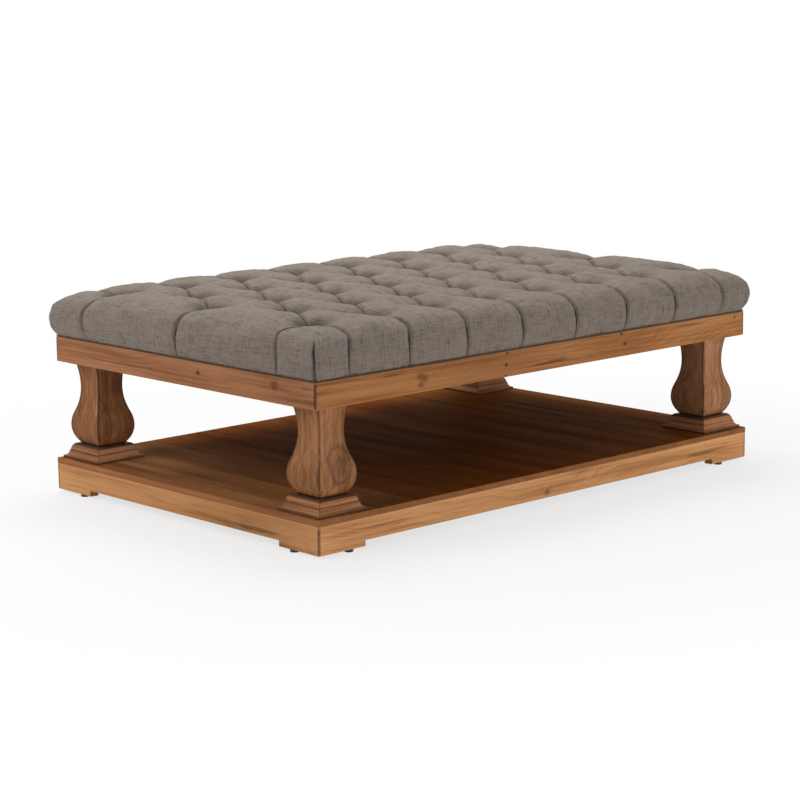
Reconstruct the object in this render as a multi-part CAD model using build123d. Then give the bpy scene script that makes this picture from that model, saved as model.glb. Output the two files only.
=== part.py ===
from build123d import *
import math
import os

os.makedirs("parts", exist_ok=True)

# A tufted ottoman coffee table: an upholstered top on a mitred apron, four square baluster legs,
# and a plinth shelf of boards with bracket feet.
# Millimetres, +Z up, X along the table, front at -Y. The origin is the footprint's centre, on the floor.

# Plinth and shelf
plinth_length = 1300
plinth_depth = 870
skirt_height = 58
skirt_thickness = 20
foot_length = 120
rail_lift = 12
shelf_thickness = 12
end_board_width = 59
full_board_count = 12
board_edge_ease = 0.8
bearer_width = 40
bearer_height = 22
bearer_housing = 6
bearer_gap = 61
plinth_block_size = 84
plinth_block_height = 40

# Glides
glide_radius = 9
glide_height = 6
glide_edge_round = 1.5
glide_from_corner = 85
nail_radius = 1.5
nail_length = 18

# Legs: half widths of the square baluster, and heights above its foot
base_inset = 9.5
leg_space = 214
leg_bottom_half = 33
leg_bulb_half = 49
leg_neck_half = 32
leg_top_half = 39.5
bulb_height = 41
neck_height = 126
bulb_turn_share = 0.35

# Leg base moulding: half widths, and heights above the shelf
base_height = 32
base_half = 63
base_fillet_height = 5.5
cove_bottom_half = 60
cove_top_half = 53
cove_top_height = 16
ovolo_bottom_half = 51
ovolo_bottom_height = 17.5
ovolo_top_half = 43.5
cove_depth_share = 0.3
ovolo_swell_share = 0.8

# Apron and what it holds
apron_end_inset = 3.5
apron_side_inset = 7.5
apron_height = 54
apron_thickness = 22
top_block_size = 90
rail_thickness = 24
rail_height = 40
rail_housing = 6
rail_pitch_share = 1.25
edge_round = 1.5
mitre_notch = 0.9

# Upholstered panel
cover_thickness = 1.2
deck_inset = 13.5
deck_thickness = 15
foam_height = 44
wrap_width = 40
dust_cover_gap = 0.3

# Cushion: its outline from the seam to the crown. Each pair is a height, and how far the outline lies
# inside the apron's edge, both as shares of the cushion's height.
cushion_height = 104
corner_radius = 15
corner_round_share = 0.45
fullest_share = 0.08
side_shares = (
    (0.000, 0.030),
    (0.030, 0.008),
    (0.070, -0.010),
    (0.140, -0.040),
    (0.250, -0.066),
    (0.380, -0.080),
    (0.500, -0.080),
    (0.620, -0.063),
    (0.710, -0.030),
    (0.790, 0.030),
    (0.860, 0.115),
    (0.915, 0.250),
    (0.955, 0.480),
    (0.985, 0.950),
    (1.000, 1.900),
)

# Tufting
tuft_from_end = 93.5
tuft_from_side = 116.5
long_row_count = 8
row_count = 5
valley_depth = 18
crest_lift = 0.6
crest_reach_share = 0.9
dimple_depth = 30
dimple_floor_radius = 12.5
dimple_mouth_radius = 34
crease_depth = 6.5
crease_width = 13

# Buttons and their ties
button_radius = 11
button_rim = 3
button_height = 9
tie_radius = 1
tie_clearance = 0.2
foam_hole_radius = 6
knot_radius = 2.5
knot_height = 1
washer_radius = 9
washer_thickness = 2
washer_recess = 3

# Leg rods and fasteners
rod_radius = 4
rod_clearance = 0.5
rod_top_reach = 35
rod_end_reach = 3
rod_washer_radius = 12
rod_washer_thickness = 2
nut_across_flats = 13
nut_height = 6.5
insert_radius = 6
insert_length = 25
thread_clearance = 0.1
screw_radius = 2
screw_head_radius = 4
block_screw_bite = 12
block_screw_offset = 22
block_screw_stagger = 9
deck_screw_bite = 10
deck_screw_from_apron = 155.5
shelf_screw_bite = 8

# One overrun serves every cut
overrun = 10

# Levels
foot_bottom = glide_height
rail_bottom = foot_bottom + rail_lift
skirt_top = foot_bottom + skirt_height
shelf_top = skirt_top + shelf_thickness
leg_bottom = shelf_top + base_height
leg_height = leg_space - base_height
plinth_block_bottom = skirt_top - plinth_block_height
apron_bottom = shelf_top + leg_space
apron_top = apron_bottom + apron_height
cross_rail_bottom = apron_top - rail_height
deck_bottom = apron_top + cover_thickness
deck_top = deck_bottom + deck_thickness
foam_top = deck_top + foam_height
crown = apron_top + cushion_height
dimple_floor = crown - dimple_depth
washer_top = deck_bottom + washer_recess
washer_bottom = washer_top - washer_thickness

# Places
leg_x = plinth_length / 2 - base_inset - base_half
leg_y = plinth_depth / 2 - base_inset - base_half
shelf_board_width = (plinth_length - 2 * end_board_width) / full_board_count
apron_length = plinth_length - 2 * apron_end_inset
apron_depth = plinth_depth - 2 * apron_side_inset
apron_inner_x = apron_length / 2 - apron_thickness
apron_inner_y = apron_depth / 2 - apron_thickness
skirt_inner_x = plinth_length / 2 - skirt_thickness
skirt_inner_y = plinth_depth / 2 - skirt_thickness
deck_x = apron_length / 2 - deck_inset
deck_y = apron_depth / 2 - deck_inset
wrap_x = deck_x - wrap_width
wrap_y = deck_y - wrap_width
tuft_x = apron_length / 2 - tuft_from_end
tuft_y = apron_depth / 2 - tuft_from_side
tuft_pitch = 2 * tuft_x / (long_row_count - 1)
row_pitch = 2 * tuft_y / (row_count - 1)
rail_offset = tuft_pitch * rail_pitch_share
deck_screw_y = apron_inner_y - deck_screw_from_apron
bearer_offset = skirt_inner_y - plinth_block_size - bearer_gap - bearer_width / 2
bearer_places = (-bearer_offset, 0, bearer_offset)
corners = {
    "front_left": (-1, -1),
    "front_right": (1, -1),
    "back_left": (-1, 1),
    "back_right": (1, 1),
}


def between(low, high):
    """A box from its lowest corner to its highest."""
    size = [b - a for a, b in zip(low, high)]
    centre = [(a + b) / 2 for a, b in zip(low, high)]
    return Pos(*centre) * Box(*size)


def post(radius, x, y, bottom, top):
    """An upright cylinder."""
    return Pos(x, y, (bottom + top) / 2) * Cylinder(radius, top - bottom)


def square_turning(outline, reach):
    """The solid whose four faces all have one outline, with mitred corners."""
    face = Plane.XZ * make_face(outline)
    along_y = extrude(face, amount=reach, both=True)
    return along_y & along_y.rotate(Axis.Z, 90)


def mirrored(curves):
    """The same curves on the other side of the outline's middle line."""
    return [mirror(curve, about=Plane.YZ) for curve in curves]


def mitred_boards(length, depth, thickness, bottom, top):
    """The front and the left board of a mitred rectangle, with a fine notch at each outer corner."""
    x = length / 2
    y = depth / 2
    front = Polygon(
        (-x + mitre_notch, -y),
        (x - mitre_notch, -y),
        (x - mitre_notch, -y + mitre_notch),
        (x - thickness, -y + thickness),
        (-x + thickness, -y + thickness),
        (-x + mitre_notch, -y + mitre_notch),
        align=None,
    )
    left = Polygon(
        (-x, -y + mitre_notch),
        (-x + mitre_notch, -y + mitre_notch),
        (-x + thickness, -y + thickness),
        (-x + thickness, y - thickness),
        (-x + mitre_notch, y - mitre_notch),
        (-x, y - mitre_notch),
        align=None,
    )
    return [Pos(0, 0, bottom) * extrude(face, amount=top - bottom) for face in (front, left)]


def ease(board, along, outward):
    """Round the long edges of a board's outer face."""
    return fillet(board.edges().filter_by(along).group_by(outward)[0], edge_round)


def keep_four(prefix, front, left):
    """Name the front and left boards and their mirrored copies."""
    return {
        f"{prefix}_front": front,
        f"{prefix}_back": mirror(front, about=Plane.XZ),
        f"{prefix}_left": left,
        f"{prefix}_right": mirror(left, about=Plane.YZ),
    }


def corner_copies(name, shape):
    """One piece for each corner of the table, mirrored into place from the back right corner."""
    copies = {}
    for corner, (side_x, side_y) in corners.items():
        piece = shape
        if side_x < 0:
            piece = mirror(piece, about=Plane.YZ)
        if side_y < 0:
            piece = mirror(piece, about=Plane.XZ)
        copies[f"{name}_{corner}"] = piece
    return copies


def screw(length, extra=0):
    """A countersunk wood screw with its head's face at zero, pointing up. Extra widens it to its hole."""
    head = screw_head_radius + extra
    shank = screw_radius + extra
    outline = Polyline(
        (0, 0),
        (head, 0),
        (shank, head - shank),
        (shank, length - shank),
        (0, length + extra),
        close=True,
    )
    return revolve(Plane.XZ * make_face(outline), Axis.Z)


def screws_and_holes(length, aims):
    """Screws of one length, each at a place and pointing a way, and the holes that they stand in."""
    plain = screw(length)
    wider = screw(length, thread_clearance)
    planes = [Plane(origin=place, z_dir=way) for place, way in aims]
    return [plane * plain for plane in planes], [plane * wider for plane in planes]


def corner_block_aims(inner_x, inner_y, size, level):
    """Two screws through each corner block, one into each board beside it."""
    aims = []
    low = level - block_screw_stagger
    high = level + block_screw_stagger
    for side_x, side_y in corners.values():
        across = (side_x * (inner_x - size), side_y * (leg_y + block_screw_offset), low)
        along = (side_x * (leg_x + block_screw_offset), side_y * (inner_y - size), high)
        aims.append((across, (side_x, 0, 0)))
        aims.append((along, (0, side_y, 0)))
    return aims


def leg_outline():
    """The baluster: a round bulb, a long ogee up to the neck and a flare to the top."""
    bulb = Vector(leg_bulb_half, bulb_height)
    neck = Vector(leg_neck_half, neck_height)
    turn = bulb + (neck - bulb) * bulb_turn_share
    foot = (leg_bottom_half, 0)
    head = (leg_top_half, leg_height)
    side = [
        TangentArc(bulb, foot, tangent=(0, -1)),
        TangentArc(bulb, turn, tangent=(0, 1)),
        TangentArc(neck, turn, tangent=(0, -1)),
        TangentArc(neck, head, tangent=(0, 1)),
    ]
    ends = [
        Line((-leg_bottom_half, 0), foot),
        Line((-leg_top_half, leg_height), head),
    ]
    return side + mirrored(side) + ends


def base_outline():
    """The moulded base: a fillet, a cove, a fine step and an ovolo."""
    cove_bottom = Vector(cove_bottom_half, base_fillet_height)
    cove_top = Vector(cove_top_half, cove_top_height)
    cove_corner = Vector(cove_top_half, base_fillet_height)
    cove_middle = (cove_bottom + cove_top) / 2
    cove_middle = cove_middle + (cove_corner - cove_middle) * cove_depth_share
    ovolo_bottom = Vector(ovolo_bottom_half, ovolo_bottom_height)
    ovolo_top = Vector(ovolo_top_half, base_height)
    ovolo_middle = Vector(
        ovolo_top_half + (ovolo_bottom_half - ovolo_top_half) * ovolo_swell_share,
        (ovolo_bottom_height + base_height) / 2,
    )
    side = [
        Line((base_half, 0), (base_half, base_fillet_height)),
        Line((base_half, base_fillet_height), cove_bottom),
        ThreePointArc(cove_bottom, cove_middle, cove_top),
        Line(cove_top, (cove_top_half, ovolo_bottom_height)),
        Line((cove_top_half, ovolo_bottom_height), ovolo_bottom),
        ThreePointArc(ovolo_bottom, ovolo_middle, ovolo_top),
    ]
    ends = [
        Line((-base_half, 0), (base_half, 0)),
        Line((-ovolo_top_half, base_height), ovolo_top),
    ]
    return side + mirrored(side) + ends


def tuft_places():
    """Every button: long rows, with one button fewer in the rows between them."""
    places = []
    for row in range(row_count):
        count = long_row_count - row % 2
        y = row_pitch * row - tuft_y
        places += [(tuft_pitch * (k - (count - 1) / 2), y) for k in range(count)]
    return places


def pleat_section(half_pitch, across):
    """The space above two puffs that meet in a pleat, as a face that stands across the pleat."""
    sag = valley_depth + crest_lift
    radius = (half_pitch**2 + sag**2) / (2 * sag)
    edge = half_pitch * crest_reach_share
    roof = crown + overrun

    def point(u):
        rise = math.sqrt(radius**2 - (half_pitch - abs(u)) ** 2) - radius
        return across * u + Vector(0, 0, crown + crest_lift + rise)

    corners_up = [across * side * edge + Vector(0, 0, roof) for side in (-1, 1)]
    curves = [
        ThreePointArc(point(0), point(edge / 2), point(edge)),
        ThreePointArc(point(0), point(-edge / 2), point(-edge)),
        Line(point(-edge), corners_up[0]),
        Line(point(edge), corners_up[1]),
        Line(*corners_up),
    ]
    return Face(Wire(curves))


def diagonal_pleats():
    """The crossing diagonal pleats, kept inside the outer buttons."""
    field = between((-tuft_x, -tuft_y, dimple_floor - overrun), (tuft_x, tuft_y, crown + 2 * overrun))
    section = pleat_section(tuft_pitch / 2, Vector(1, 0, 0))
    run = tuft_pitch * (row_count - 1) / 2
    rise = row_pitch * (row_count - 1)
    extra = (row_count - 1) // 4
    pleats = []
    for k in range(-extra, long_row_count - 1):
        for side in (-1, 1):
            start = Pos(side * (tuft_pitch * k - tuft_x), -tuft_y, 0)
            pleats.append(Solid.extrude(start * section, Vector(side * run, rise, 0)) & field)
    return pleats


def edge_pleats():
    """The straight pleats from the outer buttons over the cushion's four edges."""
    reach_x = apron_length / 2 + 2 * overrun - tuft_x
    reach_y = apron_depth / 2 + 2 * overrun - tuft_y
    across_x = pleat_section(tuft_pitch / 2, Vector(1, 0, 0))
    across_y = pleat_section(row_pitch, Vector(0, 1, 0))
    pleats = []
    for side in (-1, 1):
        for k in range(long_row_count):
            place = Pos(tuft_pitch * k - tuft_x, side * tuft_y, 0)
            pleats.append(Solid.extrude(place * across_x, Vector(0, side * reach_y, 0)))
        for row in range(0, row_count, 2):
            place = Pos(side * tuft_x, row_pitch * row - tuft_y, 0)
            pleats.append(Solid.extrude(place * across_y, Vector(side * reach_x, 0, 0)))
    return pleats


def side_creases():
    """The upright creases that carry the edge pleats down the cushion's sides."""
    reach = fullest_share * cushion_height - crease_depth
    out_x = apron_length / 2 + reach
    out_y = apron_depth / 2 + reach
    outline = Polygon((0, 0), (crease_width, -crease_width / 2), (crease_width, crease_width / 2), align=None)
    crease = Pos(0, 0, apron_top - overrun) * extrude(outline, amount=cushion_height + 2 * overrun)
    creases = []
    for turn, side in ((90, 1), (-90, -1)):
        creases += [
            Pos(tuft_pitch * k - tuft_x, side * out_y, 0) * Rot(0, 0, turn) * crease
            for k in range(long_row_count)
        ]
    for turn, side in ((0, 1), (180, -1)):
        creases += [
            Pos(side * out_x, row_pitch * row - tuft_y, 0) * Rot(0, 0, turn) * crease
            for row in range(0, row_count, 2)
        ]
    return creases


def cushion_body():
    """The cushion's outer form: drawn in at the seam, full at the sides, rolled over to a low crown."""
    sections = []
    for height, inset in side_shares:
        x = apron_length - 2 * inset * cushion_height
        y = apron_depth - 2 * inset * cushion_height
        radius = corner_radius + corner_round_share * (inset + fullest_share) * cushion_height
        place = Pos(0, 0, apron_top + height * cushion_height)
        sections.append(place * RectangleRounded(x, y, radius))
    return loft(sections, ruled=True)


def dimples():
    """The funnels that the buttons draw into the top."""
    slope = (dimple_mouth_radius - dimple_floor_radius) / dimple_depth
    height = dimple_depth + overrun
    mouth = dimple_floor_radius + slope * height
    funnel = Pos(0, 0, dimple_floor + height / 2) * Cone(dimple_floor_radius, mouth, height)
    return [Pos(x, y, 0) * funnel for x, y in tuft_places()]


def tie_holes(radius, bottom, top):
    return [post(radius, x, y, bottom, top) for x, y in tuft_places()]


def cushion():
    """The tufted cover with its wadding and soft top layer, wrapped under the deck's edge."""
    body = cushion_body()
    body = body.cut(*diagonal_pleats(), *edge_pleats())
    body = body.cut(*side_creases())
    body = body.cut(*dimples())
    deck_and_foam = between((-deck_x, -deck_y, deck_bottom), (deck_x, deck_y, foam_top))
    opening = between((-wrap_x, -wrap_y, apron_top - overrun), (wrap_x, wrap_y, deck_bottom + overrun))
    body = body.cut(deck_and_foam, opening)
    return body.cut(*tie_holes(tie_radius + tie_clearance, foam_top - overrun, crown))


def buttons():
    """The covered buttons, each at the bottom of its tuft."""
    rise = button_height - button_rim
    radius = (button_radius**2 + rise**2) / (2 * rise)
    halfway = button_radius / 2
    rim = (button_radius, button_rim)
    middle = (halfway, button_height - radius + math.sqrt(radius**2 - halfway**2))
    outline = [
        Line((0, 0), (button_radius, 0)),
        Line((button_radius, 0), rim),
        ThreePointArc(rim, middle, (0, button_height)),
        Line((0, button_height), (0, 0)),
    ]
    one = revolve(Plane.XZ * make_face(outline), Axis.Z)
    return [Pos(x, y, dimple_floor) * one for x, y in tuft_places()]


def ties():
    """The twine from each button down to its knot under the washer."""
    knot_bottom = washer_bottom - knot_height
    return [
        post(tie_radius, x, y, washer_bottom, dimple_floor)
        + post(knot_radius, x, y, knot_bottom, washer_bottom)
        for x, y in tuft_places()
    ]


def tie_washers():
    """The discs that hold the twine, each in a recess under the deck."""
    hole = tie_radius + tie_clearance
    return [
        post(washer_radius, x, y, washer_bottom, washer_top) - post(hole, x, y, deck_bottom, deck_top)
        for x, y in tuft_places()
    ]


def glide():
    """A nail-on glide under the middle of a skirt board's thickness, its face on the floor."""
    pad = post(glide_radius, 0, 0, 0, foot_bottom)
    pad = fillet(pad.edges().group_by(Axis.Z)[0], glide_edge_round)
    return pad + post(nail_radius, 0, 0, foot_bottom - glide_edge_round, foot_bottom + nail_length)


def glide_places():
    """Two glides at each corner, one under each arm of the bracket foot."""
    places = []
    for side_x, side_y in corners.values():
        x = plinth_length / 2
        y = plinth_depth / 2
        middle = skirt_thickness / 2
        places.append((side_x * (x - glide_from_corner), side_y * (y - middle)))
        places.append((side_x * (x - middle), side_y * (y - glide_from_corner)))
    return places


def shelf_edges():
    """Where the shelf boards meet, from left to right, with narrow boards at both ends."""
    end = plinth_length / 2
    seams = [end_board_width - end + shelf_board_width * k for k in range(full_board_count + 1)]
    return [-end] + seams + [end]


def build_plinth(rod_holes):
    """The skirts with their bracket feet, corner blocks, bearers, shelf boards and glides."""
    front, left = mitred_boards(plinth_length, plinth_depth, skirt_thickness, foot_bottom, skirt_top)
    gap_x = plinth_length / 2 - foot_length
    gap_y = plinth_depth / 2 - foot_length
    front -= between((-gap_x, -plinth_depth, 0), (gap_x, 0, rail_bottom))
    left -= between((-plinth_length, -gap_y, 0), (0, gap_y, rail_bottom))
    front = ease(front, Axis.X, Axis.Y)
    left = ease(left, Axis.Y, Axis.X)

    bearer_x = skirt_inner_x + bearer_housing
    bearer_bottom = skirt_top - bearer_height
    bearers = [
        between((-bearer_x, y - bearer_width / 2, bearer_bottom), (bearer_x, y + bearer_width / 2, skirt_top))
        for y in bearer_places
    ]
    left = left.cut(*bearers)
    skirts = keep_four("skirt", front, left)

    block = between(
        (skirt_inner_x - plinth_block_size, skirt_inner_y - plinth_block_size, plinth_block_bottom),
        (skirt_inner_x, skirt_inner_y, skirt_top),
    )
    blocks = corner_copies("plinth_block", block)

    level = skirt_top - plinth_block_height / 2
    aims = corner_block_aims(skirt_inner_x, skirt_inner_y, plinth_block_size, level)
    skirt_screws, holes = screws_and_holes(plinth_block_size + block_screw_bite, aims)
    skirts = {name: board.cut(*holes) for name, board in skirts.items()}
    blocks = {name: piece.cut(*holes, *rod_holes) for name, piece in blocks.items()}

    edges = shelf_edges()
    spans = list(zip(edges, edges[1:]))
    aims = [(((low + high) / 2, y, bearer_bottom), (0, 0, 1)) for low, high in spans for y in bearer_places]
    shelf_screws, holes = screws_and_holes(bearer_height + shelf_screw_bite, aims)
    shelf = {}
    for number, (low, high) in enumerate(spans, 1):
        board = between((low, -plinth_depth / 2, skirt_top), (high, plinth_depth / 2, shelf_top))
        board = chamfer(board.edges().group_by(Axis.Z)[-1], board_edge_ease)
        own = holes[(number - 1) * len(bearer_places) : number * len(bearer_places)]
        shelf[f"shelf_board_{number:02d}"] = board.cut(*own, *rod_holes)
    names = ("front", "middle", "back")
    bearers = {f"shelf_bearer_{name}": piece.cut(*holes) for name, piece in zip(names, bearers)}

    glides = [Pos(x, y, 0) * glide() for x, y in glide_places()]
    nails = [
        post(nail_radius, x, y, foot_bottom - overrun, foot_bottom + nail_length) for x, y in glide_places()
    ]
    skirts = {name: board.cut(*nails) for name, board in skirts.items()}
    groups = {"skirt_screws": skirt_screws, "shelf_screws": shelf_screws, "foot_glides": glides}
    return {**skirts, **blocks, **bearers, **shelf, **groups}


def build_legs(rod_holes):
    """The balusters and the moulded bases that they stand on."""
    leg = square_turning(leg_outline(), base_half)
    base = square_turning(base_outline(), 2 * base_half)
    leg = (Pos(leg_x, leg_y, leg_bottom) * leg).cut(*rod_holes)
    base = (Pos(leg_x, leg_y, shelf_top) * base).cut(*rod_holes)
    return {**corner_copies("leg", leg), **corner_copies("leg_base", base)}


def build_rods():
    """The rods that clamp plinth, base, leg and top at each corner, with washer, nut and insert."""
    washer_low = plinth_block_bottom - rod_washer_thickness
    nut_low = washer_low - nut_height
    wide = rod_radius + thread_clearance
    hexagon = RegularPolygon(nut_across_flats / 2, 6, major_radius=False)
    nut = Pos(0, 0, nut_low) * extrude(hexagon, amount=nut_height)
    groups = {"leg_rods": [], "rod_nuts": [], "rod_washers": [], "threaded_inserts": []}
    for side_x, side_y in corners.values():
        x = side_x * leg_x
        y = side_y * leg_y
        bore = post(wide, x, y, 0, crown)
        rod = post(rod_radius, x, y, nut_low - rod_end_reach, apron_bottom + rod_top_reach)
        groups["leg_rods"].append(rod)
        groups["rod_nuts"].append(Pos(x, y, 0) * nut - bore)
        groups["rod_washers"].append(post(rod_washer_radius, x, y, washer_low, plinth_block_bottom) - bore)
        insert = post(insert_radius, x, y, apron_bottom, apron_bottom + insert_length)
        groups["threaded_inserts"].append(insert - bore)
    return groups


def build_top_frame():
    """The apron, its corner blocks and the two rails that carry the deck."""
    front, left = mitred_boards(apron_length, apron_depth, apron_thickness, apron_bottom, apron_top)
    front = ease(front, Axis.X, Axis.Y)
    left = ease(left, Axis.Y, Axis.X)
    rail_y = apron_inner_y + rail_housing
    half = rail_thickness / 2
    rails = {
        name: between((x - half, -rail_y, cross_rail_bottom), (x + half, rail_y, apron_top))
        for name, x in (("cross_rail_left", -rail_offset), ("cross_rail_right", rail_offset))
    }
    front = front.cut(*rails.values())
    apron = keep_four("apron", front, left)

    block = between(
        (apron_inner_x - top_block_size, apron_inner_y - top_block_size, apron_bottom),
        (apron_inner_x, apron_inner_y, apron_top),
    )
    block -= post(insert_radius, leg_x, leg_y, apron_bottom, apron_bottom + insert_length)
    block -= post(rod_radius + rod_clearance, leg_x, leg_y, apron_bottom, apron_bottom + rod_top_reach)
    blocks = corner_copies("top_block", block)

    aims = corner_block_aims(apron_inner_x, apron_inner_y, top_block_size, apron_bottom + apron_height / 2)
    apron_screws, holes = screws_and_holes(top_block_size + block_screw_bite, aims)
    apron = {name: board.cut(*holes) for name, board in apron.items()}
    blocks = {name: piece.cut(*holes) for name, piece in blocks.items()}

    spots = [(x, y) for x in (-rail_offset, rail_offset) for y in (-deck_screw_y, 0, deck_screw_y)]
    aims = [((x, y, cross_rail_bottom), (0, 0, 1)) for x, y in spots]
    deck_screws, holes = screws_and_holes(rail_height + cover_thickness + deck_screw_bite, aims)
    rails = {name: rail.cut(*holes) for name, rail in rails.items()}
    groups = {"apron_screws": apron_screws, "deck_screws": deck_screws}
    return {**apron, **blocks, **rails, **groups}, holes


def build_upholstery(deck_screw_holes):
    """The deck, foam, tufted cushion, buttons, ties and dust cover."""
    deck = between((-deck_x, -deck_y, deck_bottom), (deck_x, deck_y, deck_top))
    deck = deck.cut(
        *tie_holes(washer_radius, deck_bottom - overrun, washer_top),
        *tie_holes(tie_radius + tie_clearance, deck_bottom, deck_top + overrun),
        *deck_screw_holes,
    )
    foam = between((-deck_x, -deck_y, deck_top), (deck_x, deck_y, foam_top))
    foam = foam.cut(*tie_holes(foam_hole_radius, deck_top - overrun, foam_top + overrun))
    sheet_x = wrap_x - dust_cover_gap
    sheet_y = wrap_y - dust_cover_gap
    sheet = between((-sheet_x, -sheet_y, apron_top), (sheet_x, sheet_y, deck_bottom))
    return {
        "seat_deck": deck,
        "foam_pad": foam,
        "tufted_cushion": cushion(),
        "tuft_buttons": buttons(),
        "button_ties": ties(),
        "tie_washers": tie_washers(),
        "dust_cover": sheet.cut(*deck_screw_holes),
    }


def write(name, shape):
    """One STEP file for one node."""
    pieces = shape if isinstance(shape, list) else [shape]
    solids = [solid for piece in pieces for solid in piece.solids()]
    whole = Compound(children=solids) if len(solids) > 1 else solids[0]
    export_step(whole, f"parts/{name}.step")


rod_holes = [
    post(rod_radius + rod_clearance, side_x * leg_x, side_y * leg_y, 0, apron_bottom)
    for side_x, side_y in corners.values()
]
top_frame, deck_screw_holes = build_top_frame()
nodes = {
    **build_plinth(rod_holes),
    **build_legs(rod_holes),
    **build_rods(),
    **top_frame,
    **build_upholstery(deck_screw_holes),
}
for name, shape in nodes.items():
    write(name, shape)
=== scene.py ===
import bmesh
import bpy
import math
import numpy as np
from mathutils import Matrix, Vector


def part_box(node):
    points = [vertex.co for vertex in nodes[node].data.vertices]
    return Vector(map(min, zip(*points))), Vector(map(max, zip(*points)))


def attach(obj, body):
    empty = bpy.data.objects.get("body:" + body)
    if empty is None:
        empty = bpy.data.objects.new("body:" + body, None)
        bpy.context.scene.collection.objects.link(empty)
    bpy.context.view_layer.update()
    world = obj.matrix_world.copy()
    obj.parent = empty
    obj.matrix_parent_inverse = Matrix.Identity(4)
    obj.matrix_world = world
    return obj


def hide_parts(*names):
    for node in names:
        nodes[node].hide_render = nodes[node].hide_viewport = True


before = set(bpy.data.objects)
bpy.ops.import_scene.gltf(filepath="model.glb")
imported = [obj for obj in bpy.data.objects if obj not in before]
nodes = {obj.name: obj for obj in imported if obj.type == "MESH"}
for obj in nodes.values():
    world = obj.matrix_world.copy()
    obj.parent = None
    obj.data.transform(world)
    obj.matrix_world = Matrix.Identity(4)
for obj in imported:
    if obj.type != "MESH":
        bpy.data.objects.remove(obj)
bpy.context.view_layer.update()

# Sizes from the part's source, in metres
apron_length = 1.293
apron_depth = 0.855
apron_top = 0.344
cushion_height = 0.104
crown = apron_top + cushion_height
tuft_x = 0.553
tuft_y = 0.311
tuft_pitch = 0.158
row_pitch = 0.1555
long_row_count = 8
row_count = 5
dimple_floor = 0.418
pleat_slope = 2 * row_pitch / math.hypot(tuft_pitch, 2 * row_pitch)


# Camera and light
def aim_camera():
    """A long lens before the front left corner, with a slight roll."""
    azimuth, elevation, roll = (math.radians(angle) for angle in (-43.321, 10.748, -0.615))
    distance = 5.0991
    target = Vector((0, 0, 0.227))
    slide_across, slide_over = 0.0156, -0.0818
    level = math.cos(elevation)
    back = Vector((math.sin(azimuth) * level, -math.cos(azimuth) * level, math.sin(elevation)))
    right = (-back).cross(Vector((0, 0, 1))).normalized()
    up = right.cross(-back).normalized()
    across = right * math.cos(roll) + up * math.sin(roll)
    over = up * math.cos(roll) - right * math.sin(roll)
    data = bpy.data.cameras.new("camera")
    data.lens = 102.78
    data.sensor_width = 36
    data.shift_x = -0.0202
    data.shift_y = 0.0149
    camera = bpy.data.objects.new("camera", data)
    bpy.context.scene.collection.objects.link(camera)
    place = target + back * distance + across * slide_across + over * slide_over
    turn = Matrix((across, over, back)).transposed().to_4x4()
    camera.matrix_world = Matrix.Translation(place) @ turn
    bpy.context.scene.camera = camera


def soft_lamp(name, place, aim, size, power):
    """A plain rectangular lamp, aimed at a place."""
    data = bpy.data.lights.new(name, "AREA")
    data.shape = "RECTANGLE"
    data.size, data.size_y = size
    data.energy = power
    lamp = bpy.data.objects.new(name, data)
    lamp.location = place
    lamp.rotation_euler = (Vector(aim) - Vector(place)).to_track_quat("-Z", "Y").to_euler()
    bpy.context.scene.collection.objects.link(lamp)


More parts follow.
